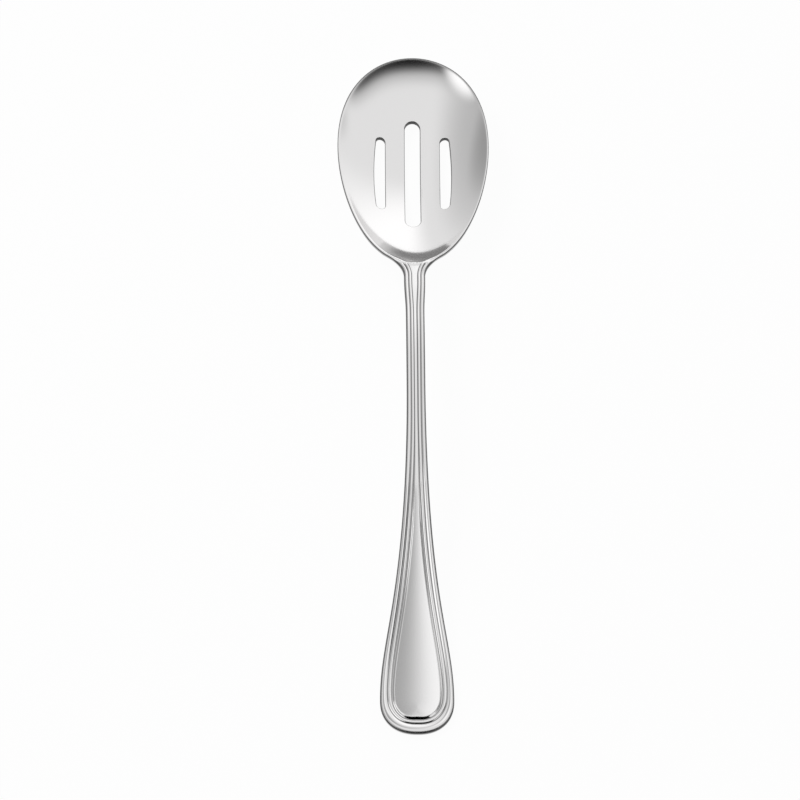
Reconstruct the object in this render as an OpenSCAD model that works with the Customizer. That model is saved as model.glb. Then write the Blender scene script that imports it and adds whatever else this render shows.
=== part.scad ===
// Slotted serving spoon, struck from one stainless steel blank.
// It lies on a table, bowl upward: +Y runs from the handle's end to the bowl's tip, +Z is up.
// u is the distance from the bowl's tip along the spoon, x the distance from its centre line.

/* [Overall] */
// Length from the bowl's tip to the handle's end
overall_l = 298; // [270:1:330]

/* [Bowl] */
// Width of the bowl at its widest
bowl_w = 62.6; // [54:0.2:72]
// Length of the bowl's oval from its tip to where the stem grows out of it
bowl_l = 98.2; // [90:0.2:112]
// Depth of the hollow below the rim
bowl_depth = 13.5; // [9:0.5:18]
// Gauge of the metal in the bowl
bowl_t = 2.2; // [1.6:0.1:3]
// Width of the lip between the hollow and the outer edge
lip_w = 0.6; // [0.5:0.1:1.6]

/* [Slots] */
// Width of the middle slot
mid_slot_w = 6.4; // [5:0.5:9]
// Length of the middle slot
mid_slot_l = 50; // [36:1:54]
// Distance from the bowl's tip to the middle of the slots
slot_u = 50; // [46:1:56]
// Width of a side slot at its round ends
side_slot_w = 3.8; // [3:0.1:6]
// Length of a side slot
side_slot_l = 34; // [24:0.5:40]
// Distance from the centre line to the straight side of a side slot
side_slot_x = 11.4; // [8:0.1:14]
// How far the outer side of a side slot bows out
side_slot_bow = 0.8; // [0:0.1:2]

/* [Stem] */
// Width of the stem
stem_w = 7.5; // [6.4:0.1:10]
// Width of the stem where it leaves the bowl
neck_w = 8.6; // [7:0.1:12]
// Thickness of the stem
stem_t = 4.2; // [3:0.1:6]
// Height of the stem's top above the table at the top of its arch
arch_h = 25; // [18:0.5:34]
// Distance from the bowl's tip to the top of the arch
arch_u = 155; // [135:1:175]

/* [Handle] */
// Width of the handle at its widest
handle_w = 29.2; // [24:0.2:34]
// Thickness of the handle at its end
handle_t = 3.2; // [2.4:0.1:4.5]
// Distance from the bowl's tip to where the handle starts to widen
flare_u = 156; // [145:1:170]
// Length of the round end beyond the widest place
end_l = 14; // [13:0.5:20]

/* [Thread border] */
// Width of the outer bead along the stem
stem_bead_w = 1.8; // [1.4:0.1:2.2]
// Width of the outer bead along the handle's sides
side_bead_w = 2.7; // [1.8:0.1:3.4]
// Width of the outer bead at the very end of the handle
end_bead_w = 3.9; // [1.8:0.1:4.4]
// Width of the inner thread along the stem
stem_thread_w = 1.3; // [0.7:0.1:1.4]
// Width of the inner thread round the handle's end
end_thread_w = 1.7; // [1:0.1:2.4]
// Height of the bead above the grooves
bead_h = 0.55; // [0.3:0.05:0.8]
// Height of the inner thread above the grooves
thread_h = 0.45; // [0.2:0.05:0.6]
// Height to which the panel's shoulder rises above the inner groove
panel_h = 0.65; // [0.2:0.05:0.9]
// Width of the panel's shoulder
shoulder_w = 1.4; // [0.8:0.1:2.4]

/* [Edges] */
// Radius of the rounded outer edges
edge_r = 0.45; // [0.3:0.05:0.7]

/* [Hidden] */
steel = [0.8, 0.8, 0.81];

// Where the rim starts to rise towards the stem, as a share of the bowl's length
rise_share = 0.71;
// Shape of the bowl's outline: two zeros would be a plain ellipse
egg_lean_share = 0.29;
egg_full_share = 0.11;
// How much steeper than a plain dish the hollow's sides are: below 0 they are flatter
dish_share = -0.05;
// Squared distance from the bowl's middle, as a share, at which the rule of the hollow ends
hollow_end_share = 2;
// How squarely the cross lines meet the outline: 1 is square, 0 is straight across
square_share = 0.85;
// Handles of the curve that widens the handle, as shares of its run
flare_lead_share = 0.68;
flare_tail_share = 0.22;
// How far the back is rounded across the stem and across the handle: 1 is a half round
stem_back_share = 0.7;
handle_back_share = 0.35;
// Share of the space inside the inner thread that the panel's shoulder may take
shoulder_share = 0.6;
// Height of the panel's crown, as a share of half the panel's width
crown_share = 0.05;
// Handles of the fillet curve between the bowl and the stem, as shares of its run
fillet_lead_share = 0.15;
fillet_tail_share = 0.6;
// Where the cross lines of the handle's round end meet, as a share of its length
end_fan_share = 0.2;
// Exponent of the handle's round end: 2 is an ellipse, more is blunter
end_power = 2.25;

// Distance before the end of the bowl's oval at which the fillet into the stem starts
fillet_in = 5.3;
// Distance past the end of the bowl's oval at which the fillet ends
fillet_out = 6.5;
// Run over which the stem narrows after the neck
neck_run = 20;
// Run over which the border fades in where the bowl meets the stem
fade_run = 0.8;
// Ridge that falls away from the neck's centre line to its shoulders: height, half width and run
ridge_h = 0.8;
ridge_b = 8;
ridge_l = 14;
// Softness of the corner between the hollow and the surfaces round it
crease_r = 0.12;
// Length of the heel under the neck, where the bowl's gauge grows to the stem's
heel_l = 24;
// Half the heel's width, and the softness of the corner that it fills behind the neck
heel_b = 11;
heel_r = 3.2;
// Overrun of the slots' cutters past the metal
overrun = 2;
// Step over which the bowl's outline is measured for its slope
slope_step = 0.01;

function square(v) = v * v;
// Bowl outline, with e running from 1 at the tip to -1 at the stem
function fullness(e) = 1 + e * (egg_lean_share + e * egg_full_share);
widest = max([for (e = [0:0.01:1]) sqrt((1 - e * e) * fullness(e))]);
bowl_a = bowl_l / 2;
bowl_b = bowl_w / 2 / widest;
// The bowl rests on the two long edges of the middle slot
rest_share = square(mid_slot_w / 2 / (bowl_b - lip_w));
rim_h = bowl_depth * (1 - rest_share) * (1 + dish_share * rest_share) + bowl_t;
fillet_u = bowl_l - fillet_in;
neck_u = bowl_l + fillet_out;
rise_u = bowl_l * rise_share;
wide_u = overall_l - end_l;
stem_b = stem_w / 2;
neck_b = neck_w / 2;
handle_b = handle_w / 2;
side_slot_r = side_slot_w / 2;
mid_slot_r = mid_slot_w / 2;

// Number of outline points along each part of one side, and rings across the top and the back
bowl_steps = 26;
fillet_steps = 34;
stem_steps = 8;
flare_steps = 16;
end_steps = 10;
slot_end_steps = 10;
slot_side_steps = 12;
// Number of halvings that find the crease
crease_tries = 16;

// A smooth step from 0 to 1 as t goes from 0 to 1
function ease(t) = let (s = min(1, max(0, t))) s * s * s * (s * (6 * s - 15) + 10);

function mix(a, b, share) = a + (b - a) * share;

// The lower of two heights, with the corner between them softened
function soft_min(a, b, r) = (a + b - sqrt((a - b) * (a - b) + r * r)) / 2;

// Side profile: height of the rim and of the stem's and handle's top edge
function top_line(u) = rim_h
    + (arch_h - rim_h) * ease((u - rise_u) / (arch_u - rise_u))
    - (arch_h - handle_t) * ease((u - arch_u) / (overall_l - arch_u));

// Half the bowl's width
function bowl_half_w(u) = let (e = 1 - u / bowl_a)
    bowl_b * sqrt(max(0, (1 - e * e) * fullness(e)));
function neck_half_w(u) = mix(neck_b, stem_b, ease((u - neck_u) / neck_run));

// Squared distance from the bowl's middle, as a share of the way to its outline
function bowl_share(x, u) = let (e = 1 - u / bowl_a)
    e * e + x * x / (bowl_b * bowl_b * fullness(max(-1, e)));

// A cubic curve from a to d, with handles that end at b and c
function curve(a, b, c, d, t) = let (r = 1 - t)
    r * r * r * a + 3 * r * r * t * b + 3 * r * t * t * c + t * t * t * d;

// One side of the outline, tip to end, as [x, u]
bowl_turn = acos(1 - fillet_u / bowl_a);
bowl_side = [for (i = [0:bowl_steps]) let (u = bowl_a * (1 - cos(bowl_turn * i / bowl_steps)))
    [bowl_half_w(u), u]];
fillet_run = neck_u - fillet_u;
fillet_slope = (bowl_half_w(fillet_u) - bowl_half_w(fillet_u - slope_step)) / slope_step;
fillet_from = [bowl_half_w(fillet_u), fillet_u];
fillet_to = [neck_b, neck_u];
fillet_side = [for (i = [1:fillet_steps]) curve(
    fillet_from,
    fillet_from + fillet_lead_share * fillet_run * [fillet_slope, 1],
    fillet_to - fillet_tail_share * fillet_run * [0, 1],
    fillet_to,
    i / fillet_steps)];
stem_side = [for (i = [1:stem_steps]) let (u = mix(neck_u, flare_u, i / stem_steps))
    [neck_half_w(u), u]];
flare_run = wide_u - flare_u;
flare_side = [for (i = [1:flare_steps]) curve(
    [stem_b, flare_u],
    [stem_b, flare_u + flare_lead_share * flare_run],
    [handle_b, wide_u - flare_tail_share * flare_run],
    [handle_b, wide_u],
    i / flare_steps)];
end_side = [for (i = [1:end_steps]) let (a = 90 * i / end_steps)
    [handle_b * pow(cos(a), 2 / end_power), wide_u + end_l * pow(sin(a), 2 / end_power)]];
side = concat(bowl_side, fillet_side, stem_side, flare_side, end_side);
last = len(side) - 1;
end_start = last - end_steps;

// Where the cross line from each outline point meets the centre line
function axis_place(i) = let (a = side[max(0, i - 1)], b = side[i + 1])
    side[i][1] + square_share * (square(b[0]) - square(a[0])) / (2 * (b[1] - a[1]));
function fan_place(i) = wide_u + end_l * end_fan_share * (i - end_start) / end_steps;
axis_u = [for (i = [0:last]) i < end_start ? axis_place(i) : fan_place(i)];
reach = [for (i = [0:last]) norm([side[i][0], side[i][1] - axis_u[i]])];

// How far each cross line belongs to the handle, 0 in the bowl and 1 past the neck
handle_part = [for (p = side) ease((p[1] - fillet_u) / (neck_u - fillet_u))];
// How far the border has grown from its stem widths to its end widths
growth = [for (p = side) p[1] > wide_u ? 1
    : sqrt(max(0, min(1, (p[0] - stem_b) / (handle_b - stem_b)))
        * ease((p[1] - flare_u) / neck_run))];
// The bead widens once more round the end
end_part = [for (p = side) ease((p[1] - wide_u + end_l / 2) / (end_l * 3 / 2))];
bead = [for (i = [0:last])
    mix(mix(stem_bead_w, side_bead_w, growth[i]), end_bead_w, end_part[i])];
thread = [for (g = growth) mix(stem_thread_w, end_thread_w, g)];
border = bead + thread;
panel_b = [for (i = [0:last]) max(edge_r, reach[i] - border[i])];
shoulder = [for (i = [0:last]) min(shoulder_w, shoulder_share * panel_b[i])];
crown_h = [for (i = [0:last]) crown_share * panel_b[min(i, end_start)]];
// How far the panel rises: not at all in the stem's narrow channel, fully in the handle
rise = [for (g = growth) ease(2 * g)];

// Rings across the top, from the outer edge inward
edge_shares = [0, 0.12, 0.45];
edge_rings = len(edge_shares);
bead_shares = [0.35, 0.55, 0.8, 1];
thread_shares = [0.25, 0.55, 0.8, 1];
shoulder_shares = [0.35, 0.7, 1];
panel_shares = [0.35, 0.7, 1];
function handle_rings(i) = concat(
    edge_r * edge_shares,
    [for (s = bead_shares) s * bead[i]],
    [for (s = thread_shares) bead[i] + s * thread[i]],
    [for (s = shoulder_shares) border[i] + s * shoulder[i]],
    [for (s = panel_shares) mix(border[i] + shoulder[i], reach[i], s)]);
dish_shares = [0, 0.02, 0.045, 0.08, 0.12, 0.17, 0.23, 0.3, 0.38, 0.48, 0.6, 0.72, 0.86, 1];
function bowl_rings(i) = concat(
    edge_r * edge_shares,
    [for (s = dish_shares) mix(lip_w, reach[i], s)]);
even_rings = [for (i = [0:last]) mix(bowl_rings(i), handle_rings(i), handle_part[i])];
// The crease where the hollow ends, on each cross line: the inset at which the two surfaces meet
function crease_inset(i, from, to, tries) = let (inset = (from + to) / 2, p = plan(i, inset))
    tries == 0 ? inset : flat_height(i, inset, p[0], p[1]) < dish(p[0], p[1])
        ? crease_inset(i, inset, to, tries - 1) : crease_inset(i, from, inset, tries - 1);
// The ring nearest to the crease moves onto it
function onto(rings, c) = let (gaps = [for (r = rings) abs(r - c)], near = min(gaps))
    [for (j = [0:len(rings) - 1]) j > edge_rings && gaps[j] == near ? c : rings[j]];
top_rings = [for (i = [0:last]) handle_part[i] > 0 && handle_part[i] < 1
    ? onto(even_rings[i], crease_inset(i, edge_r, reach[i], crease_tries)) : even_rings[i]];

// Rings across the back
back_shares = [0, 0.06, 0.14, 0.25, 0.4, 0.6, 0.8, 1];
back_rings = [for (i = [0:last]) concat(
    edge_r * edge_shares,
    [for (s = back_shares) mix(edge_r, reach[i], s)])];

// A round bead over a band of the given width, 0 outside it
function lobe(d, w) = max(0, 1 - square(2 * d / w - 1));

// Height of the thread border and the panel, measured from the bead's crest
function border_height(i, inset) = let (d = inset - border[i])
    - bead_h
    + bead_h * lobe(inset, bead[i])
    + thread_h * lobe(inset - bead[i], thread[i])
    + rise[i] * (panel_h * ease(d / max(edge_r, shoulder[i]))
        + crown_h[i] * (1 - square(1 - max(0, d) / panel_b[i])));

// Surface of the hollow, and of the stem and handle beside it
function dish(x, u) = let (
    s = min(hollow_end_share, bowl_share(x, u) / square(1 - lip_w / bowl_b)))
    top_line(u) - bowl_depth * (1 - s) * (1 + dish_share * s);
function ridge(x, u) = ridge_h * ease(1 - x / ridge_b) * ease((u - bowl_l + ridge_l) / ridge_l)
    * (1 - ease((u - neck_u) / neck_run));
function border_part(x, u) = ease((sqrt(bowl_share(x, u)) - 1) * bowl_a / fade_run);
function flat_height(i, inset, x, u) =
    top_line(u) + ridge(x, u) + border_part(x, u) * border_height(i, inset);
function top_height(i, inset, x, u) = soft_min(flat_height(i, inset, x, u), dish(x, u), crease_r);

// Thickness of the metal, and the back that it gives
function gauge(u) = mix(
    mix(bowl_t, stem_t, ease((u - bowl_l + heel_l) / heel_l)),
    handle_t, ease((u - flare_u) / (wide_u - flare_u)));
function back_round(u) = mix(stem_back_share, handle_back_share,
    ease((u - flare_u) / (wide_u - flare_u))) * ease((u - bowl_l + heel_l) / heel_l);
function heel_part(x, u) = ease(1 - x / heel_b)
    * ease((u - bowl_l + heel_l) / heel_l) * (1 - ease((u - neck_u) / heel_l));
function back_height(i, inset, x, u) =
    soft_min(top_line(u), dish(x, u), mix(crease_r, heel_r, heel_part(x, u)))
    - gauge(u) * sqrt(1 - back_round(u) * square(1 - inset / reach[i]));

// Drop of a rounded edge at a distance from the outline
function edge_drop(inset) = edge_r - sqrt(max(0, square(edge_r) - square(max(0, edge_r - inset))));

// The point a given distance in along the cross line from outline point i
function plan(i, inset) = let (s = inset / reach[i])
    [side[i][0] * (1 - s), mix(side[i][1], axis_u[i], s)];
function top_point(i, inset) = let (p = plan(i, inset))
    [p[0], overall_l / 2 - p[1], top_height(i, inset, p[0], p[1]) - edge_drop(inset) - ground];
function back_point(i, inset) = let (p = plan(i, inset))
    [p[0], overall_l / 2 - p[1], back_height(i, inset, p[0], p[1]) + edge_drop(inset) - ground];

// Height of the lowest place of the handle's back, which touches the table
ground = min([for (i = [0:last]) if (side[i][1] > flare_u) for (inset = back_rings[i])
    let (p = plan(i, inset)) back_height(i, inset, p[0], p[1]) + edge_drop(inset)]);

// The whole surface: rings from the top's centre line out, round the edge and in across the back
loop = 2 * last;
function mirror_x(p, left) = left ? [-p[0], p[1], p[2]] : p;
function ring(points) = [for (k = [0:loop - 1]) mirror_x(points[min(k, loop - k)], k > last)];
top_count = len(top_rings[0]);
back_count = len(back_rings[0]);
rings = concat(
    [for (j = [top_count - 2:-1:0]) ring([for (i = [0:last]) top_point(i, top_rings[i][j])])],
    [for (j = [0:back_count - 2]) ring([for (i = [0:last]) back_point(i, back_rings[i][j])])]);
top_ridge = [for (i = [0:last]) top_point(i, reach[i])];
back_ridge = [for (i = [0:last]) back_point(i, reach[i])];
ring_count = len(rings);
top_start = ring_count * loop;
back_start = top_start + last + 1;

function at(j, k) = j * loop + k % loop;
function top_at(k) = top_start + min(k % loop, loop - k % loop);
function back_at(k) = back_start + min(k % loop, loop - k % loop);

module blank() {
    faces = concat(
        [for (j = [0:ring_count - 2], k = [0:loop - 1]) each k < last ? [
            [at(j, k), at(j + 1, k), at(j, k + 1)],
            [at(j + 1, k), at(j + 1, k + 1), at(j, k + 1)]] : [
            [at(j, k), at(j + 1, k + 1), at(j, k + 1)],
            [at(j, k), at(j + 1, k), at(j + 1, k + 1)]]],
        [for (k = [0:loop - 1]) each [
            [top_at(k), at(0, k + 1), top_at(k + 1)],
            [top_at(k), at(0, k), at(0, k + 1)]]],
        [for (k = [0:loop - 1]) each [
            [at(ring_count - 1, k), back_at(k + 1), at(ring_count - 1, k + 1)],
            [at(ring_count - 1, k), back_at(k), back_at(k + 1)]]]);
    polyhedron(concat([for (r = rings) each r], top_ridge, back_ridge), faces);
}

// Outline of a slot: round ends, a straight side at x = -r and a side that bows out beyond x = r
function slot_outline(r, slot_l, bow) = let (h = slot_l / 2 - r, turn = atan(2 * bow / h)) concat(
    [for (i = [0:slot_end_steps]) let (a = mix(180, 360 - turn, i / slot_end_steps))
        [r * cos(a), -h + r * sin(a)]],
    [for (i = [1:slot_side_steps - 1]) let (
        v = mix(-h, h, i / slot_side_steps),
        a = atan(2 * bow * v / (h * h)))
        [bow * (1 - square(v / h)) + r * cos(a), v + r * sin(a)]],
    [for (i = [0:slot_end_steps]) let (a = mix(turn, 180, i / slot_end_steps))
        [r * cos(a), h + r * sin(a)]]);

module slot(r, slot_l, bow) {
    translate([0, overall_l / 2 - slot_u, -overrun])
        linear_extrude(height = rim_h + 2 * overrun)
            polygon(slot_outline(r, slot_l, bow));
}

module slots() {
    slot(mid_slot_r, mid_slot_l, 0);
    for (hand = [0, 1])
        mirror([hand, 0, 0])
            translate([side_slot_x + side_slot_r, 0, 0])
                slot(side_slot_r, side_slot_l, side_slot_bow);
}

module spoon() {
    color(steel)
        difference() {
            blank();
            slots();
        }
}

spoon();
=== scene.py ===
"""Slotted serving spoon: a flat blank is drawn, struck to its form, pierced, polished and lit."""

import math
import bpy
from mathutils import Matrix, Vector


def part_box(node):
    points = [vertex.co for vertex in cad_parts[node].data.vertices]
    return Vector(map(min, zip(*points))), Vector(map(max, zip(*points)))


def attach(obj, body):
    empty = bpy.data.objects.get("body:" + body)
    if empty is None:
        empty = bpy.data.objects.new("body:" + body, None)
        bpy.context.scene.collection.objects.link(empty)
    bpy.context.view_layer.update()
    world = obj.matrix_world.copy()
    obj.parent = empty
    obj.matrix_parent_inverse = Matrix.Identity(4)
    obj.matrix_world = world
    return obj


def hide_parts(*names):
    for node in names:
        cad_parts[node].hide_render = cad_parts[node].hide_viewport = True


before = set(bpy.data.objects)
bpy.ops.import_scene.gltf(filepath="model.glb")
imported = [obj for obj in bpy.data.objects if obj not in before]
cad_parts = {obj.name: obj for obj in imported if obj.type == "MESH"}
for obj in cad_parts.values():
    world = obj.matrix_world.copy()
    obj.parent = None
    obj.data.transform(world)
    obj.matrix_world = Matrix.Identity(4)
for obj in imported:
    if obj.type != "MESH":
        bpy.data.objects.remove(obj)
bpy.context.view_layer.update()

from types import SimpleNamespace

import bpy
import numpy as np
from bpy.props import FloatProperty, FloatVectorProperty, PointerProperty
from mathutils import Matrix, Vector
from mathutils.geometry import delaunay_2d_cdt

bl_info = {
    "name": "Slotted Serving Spoon",
    "version": (1, 0, 0),
    "blender": (4, 5, 0),
    "location": "3D View > Sidebar > Spoon",
    "description": "Strikes, pierces and polishes a stainless steel slotted serving spoon",
    "category": "Add Mesh",
}

MM = 0.001
LOW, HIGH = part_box("spoon")

# How many cross lines each part of the outline gets, on one side
BOWL_LINES = 120
FILLET_LINES = 44
STEM_LINES = 64
FLARE_LINES = 84
END_LINES = 40

# How many rings run beside the outline: over the rounded edge, then over the bowl or the handle
EDGE_RINGS = 6
LIP_RINGS = 6
WALL_RINGS = 15
FLOOR_RINGS = 26
BEAD_RINGS = 9
THREAD_RINGS = 10
SHOULDER_RINGS = 8
PANEL_RINGS = 20

# Most of a cross line that the bowl's wall rings may take, and how they crowd towards the rim
WALL_SHARE = 0.6
WALL_CROWDING = 1.7

# A small step along the centre line: it gives slopes, and keeps each cross line behind the last
AXIS_STEP = 0.01 * MM

# Points round a slot and across its rolled edge, and where rings cross the plain band round it
SLOT_END_STEPS = 22
SLOT_SIDE_STEPS = 40
ROLL_RINGS = 7
COLLAR_SHARES = (0.25, 0.6, 1.0)

# How the bowl's floor is filled: the least distance from its points to its edges, of their spacing,
# how close two points count as one, and the choice of plain triangles inside the edges
FILL_GAP_SHARE = 0.55
SAME_POINT = 1e-9
TRIANGLES_INSIDE = 1

# Tries that find where the oval is widest
OVAL_TRIES = 100


def length(name, description, default):
    """A property for a length, shown in the scene's units."""
    return FloatProperty(name=name, description=description, default=default,
                         min=0.0, precision=5, subtype="DISTANCE", unit="LENGTH")


def number(name, description, default):
    """A property for a plain number, such as a share of another size."""
    return FloatProperty(name=name, description=description, default=default, precision=3)


class SpoonSizes(bpy.types.PropertyGroup):
    """Sizes of the blank, of the strike that forms it and of the slots pierced in it."""

    overall_l: length("Length", "From the bowl's tip to the handle's end", HIGH[1] - LOW[1])
    bowl_w: length("Bowl width", "Width of the bowl at its widest", 62.6 * MM)
    bowl_l: length("Bowl length", "Length of the bowl's oval", 98.2 * MM)
    bowl_depth: length("Bowl depth", "Depth of the hollow below the rim", 13.5 * MM)
    bowl_t: length("Bowl gauge", "Gauge of the metal in the bowl", 2.2 * MM)
    lip_w: length("Lip width", "Width of the lip outside the hollow", 0.6 * MM)
    mid_slot_w: length("Middle slot width", "Width of the middle slot", 6.4 * MM)
    mid_slot_l: length("Middle slot length", "Length of the middle slot", 50 * MM)
    slot_u: length("Slot place", "From the bowl's tip to the middle of the slots", 50 * MM)
    side_slot_w: length("Side slot width", "Width of a side slot at its ends", 3.8 * MM)
    side_slot_l: length("Side slot length", "Length of a side slot", 34 * MM)
    side_slot_x: length("Side slot place", "From the centre line to a side slot", 11.4 * MM)
    side_slot_bow: length("Side slot bow", "How far a side slot bows out", 0.8 * MM)
    # The grooves' darker line is painted shade, standing in for the shade and dark reflections in the
    # grooves.
    groove_w: length("Groove width", "Half the width of the dull line in the handle's grooves", 0.28 * MM)
    slot_edge_r: length("Slot edge radius", "Radius of the slots' polished edges", 0.35 * MM)
    stem_w: length("Stem width", "Width of the stem", 7.5 * MM)
    neck_w: length("Neck width", "Width of the stem where it leaves the bowl", 8.6 * MM)
    stem_t: length("Stem gauge", "Thickness of the stem", 4.2 * MM)
    arch_h: length("Arch height", "Height of the stem's arch", 25 * MM)
    arch_u: length("Arch place", "From the bowl's tip to the top of the arch", 155 * MM)
    handle_w: length("Handle width", "Width of the handle at its widest", 29.2 * MM)
    handle_t: length("Handle gauge", "Thickness of the handle at its end", 3.2 * MM)
    flare_u: length("Flare place", "From the bowl's tip to where the handle widens", 156 * MM)
    end_l: length("End length", "Length of the handle's round end", 14 * MM)
    stem_bead_w: length("Stem bead", "Width of the outer bead along the stem", 1.8 * MM)
    side_bead_w: length("Side bead", "Width of the outer bead along the handle", 2.7 * MM)
    end_bead_w: length("End bead", "Width of the outer bead at the very end", 3.9 * MM)
    stem_thread_w: length("Stem thread", "Width of the inner thread along the stem", 1.3 * MM)
    end_thread_w: length("End thread", "Width of the inner thread round the end", 1.7 * MM)
    bead_h: length("Bead height", "Height of the bead above the grooves", 0.55 * MM)
    thread_h: length("Thread height", "Height of the thread above the grooves", 0.45 * MM)
    panel_h: length("Panel height", "Rise of the panel's shoulder", 0.65 * MM)
    shoulder_w: length("Shoulder width", "Width of the panel's shoulder", 1.4 * MM)
    edge_r: length("Edge radius", "Radius of the rounded outer edges", 0.45 * MM)
    # The edge's darker line is partly a less polished blanked edge and partly painted shade, in place of
    # the shadowed floor that these edges mirror.
    cut_and_shade_w: length("Cut width", "Width of the dull line along the stem's and the tip's edge", 1.1 * MM)
    fillet_in: length("Fillet start", "Start of the neck's fillet inside the oval", 5.3 * MM)
    fillet_out: length("Fillet end", "End of the neck's fillet past the oval", 6.5 * MM)
    neck_run: length("Neck run", "Run over which the stem narrows", 20 * MM)
    fade_run: length("Border fade", "Run over which the border fades in", 0.8 * MM)
    ridge_h: length("Neck ridge", "Rise of the neck's ridge above the shoulders", 0.8 * MM)
    ridge_b: length("Ridge half width", "Half the width of the neck's ridge", 8 * MM)
    ridge_l: length("Ridge run", "Run over which the neck's ridge rises", 14 * MM)
    crease_r: length("Crease softness", "Softness of the hollow's edge", 0.12 * MM)
    heel_l: length("Heel length", "Length of the heel under the neck", 24 * MM)
    heel_b: length("Heel half width", "Half the width of the heel", 11 * MM)
    heel_r: length("Heel softness", "Softness of the corner behind the neck", 3.2 * MM)
    tip_lip_share: number("Tip lip", "Width of the lip at the bowl's tip, of its width", 0.2)
    rise_share: number("Rim rise", "Where the rim starts to rise, of the bowl", 0.71)
    egg_lean_share: number("Egg lean", "How far the oval leans to its tip", 0.29)
    egg_full_share: number("Egg fullness", "How full the oval is at its ends", 0.11)
    dish_share: number("Dish", "How much steeper than a plain dish the sides are", -0.05)
    square_share: number("Squareness", "How squarely cross lines meet the outline", 0.85)
    flare_lead_share: number("Flare lead", "Lead of the curve that widens the handle", 0.68)
    flare_tail_share: number("Flare tail", "Tail of the curve that widens the handle", 0.22)
    stem_back_share: number("Stem back", "How far the stem's back is rounded", 0.7)
    handle_back_share: number("Handle back", "How far the handle's back is rounded", 0.35)
    shoulder_share: number("Shoulder limit", "Space that the shoulder may take", 0.6)
    fillet_lead_share: number("Fillet lead", "Lead of the neck's fillet", 0.15)
    fillet_tail_share: number("Fillet tail", "Tail of the neck's fillet", 0.6)
    crown_share: number("Crown", "Height of the panel's crown, of half its width", 0.05)
    end_fan_share: number("End fan", "Where the end's cross lines meet", 0.2)
    end_power: number("End power", "Exponent of the round end", 2.25)
    floor_step: length("Floor step", "Spacing of the points on the bowl's floor", 0.7 * MM)
    wall_run: length("Wall run", "Width of the ringed band beside the bowl's rim", 6.5 * MM)
    collar_w: length("Collar", "Width of the plain band round each slot", 1.1 * MM)


class SteelFinish(bpy.types.PropertyGroup):
    """Colour and polish of the stainless steel, with the painted shade on its blanked edges and in its
    grooves.
    """

    steel: FloatVectorProperty(name="Steel", description="Colour of the polished steel",
                               default=(0.867, 0.86, 0.859), min=0, max=1, subtype="COLOR")
    polish: number("Polish", "Roughness of the mirror polish", 0.07)
    satin: number("Satin", "Roughness of the handle's panel", 0.16)
    # A blanked edge's tone: partly its less polished finish, partly painted shade.
    cut_and_shade_tone: number("Cut tone", "Brightness of a blanked edge, of the polished steel's", 0.09)
    cut_rough: number("Cut roughness", "Further roughness of a blanked edge", 0.35)
    # The grooves' tone is painted shade, not a finish of the steel.
    groove_shade: number("Groove tone", "Brightness in the grooves, of the polished steel's", 0.2)
    grain_width: length("Grain width", "Width of a polishing line", 0.12 * MM)
    grain_depth: length("Grain depth", "Depth of a polishing line", 0.0006 * MM)
    cloud_low: number("Cloud low", "Tone between the clouds, of the polished steel's", 0.985)
    cloud_high: number("Cloud high", "Tone in the clouds, of the polished steel's", 1.01)


class StudioSettings(bpy.types.PropertyGroup):
    """Camera, floor and light."""

    aim: FloatVectorProperty(name="Aim", description="Point at the middle of the picture",
                             default=(-6.03 * MM, -6.53 * MM, 8 * MM), subtype="TRANSLATION",
                             unit="LENGTH", precision=5)
    distance: length("Distance", "From the camera to the aim point", 1.8)
    lean: FloatProperty(name="Lean", description="Lean of the view towards the handle",
                        default=math.radians(26), subtype="ANGLE", unit="ROTATION")
    side_lean: FloatProperty(name="Side lean", description="Lean of the view to the right",
                             default=math.radians(-1.41), subtype="ANGLE", unit="ROTATION")
    roll: FloatProperty(name="Roll", description="Turn of the picture about its middle",
                        default=math.radians(0.2645), subtype="ANGLE", unit="ROTATION")
    lens: FloatProperty(name="Lens", description="Focal length in millimetres",
                        default=200.41, unit="CAMERA")
    lamp_place: FloatVectorProperty(name="Lamp", description="Place of the lamp, which faces the spoon",
                                    default=(-0.9, 0.6, 1.3), subtype="TRANSLATION", unit="LENGTH")
    lamp_size: length("Lamp size", "Side of the square lamp", 0.6)
    lamp_power: FloatProperty(name="Lamp power", description="Power of the lamp in watts", default=8.0)
    floor_size: length("Floor size", "Side of the square floor", 20.0)
    floor_colour: FloatVectorProperty(name="Floor", description="Colour of the pale floor",
                                      default=(0.85, 0.85, 0.85), min=0, max=1, subtype="COLOR")
    floor_glow: number("Floor glow", "Share of the floor's brightness that no shadow dims", 0.95)


# Shared arithmetic

def ease(t):
    """A smooth step from 0 to 1 as t goes from 0 to 1."""
    s = min(1.0, max(0.0, t))
    return s * s * s * (s * (6 * s - 15) + 10)


def mix(a, b, part):
    return a + (b - a) * part


def cubic(a, b, c, d, t):
    """A point on the cubic curve from a to d whose handles end at b and c."""
    r = 1 - t
    return a * r ** 3 + b * (3 * r * r * t) + c * (3 * r * t * t) + d * t ** 3


def form_of(sizes):
    """The chosen sizes together with those that follow from them."""
    form = SimpleNamespace(**{name: getattr(sizes, name) for name in SpoonSizes.__annotations__})
    form.bowl_a = form.bowl_l / 2
    tries = (k / OVAL_TRIES for k in range(OVAL_TRIES))
    widest = max(math.sqrt((1 - e * e) * egg_fullness(form, e)) for e in tries)
    form.bowl_b = form.bowl_w / 2 / widest
    rest = (form.mid_slot_w / 2 / (form.bowl_b - form.lip_w)) ** 2
    form.rim_h = form.bowl_depth * (1 - rest) * (1 + form.dish_share * rest) + form.bowl_t
    form.fillet_u = form.bowl_l - form.fillet_in
    form.neck_u = form.bowl_l + form.fillet_out
    form.rise_u = form.bowl_l * form.rise_share
    form.wide_u = form.overall_l - form.end_l
    form.stem_b = form.stem_w / 2
    form.neck_b = form.neck_w / 2
    form.handle_b = form.handle_w / 2
    return form


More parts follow.
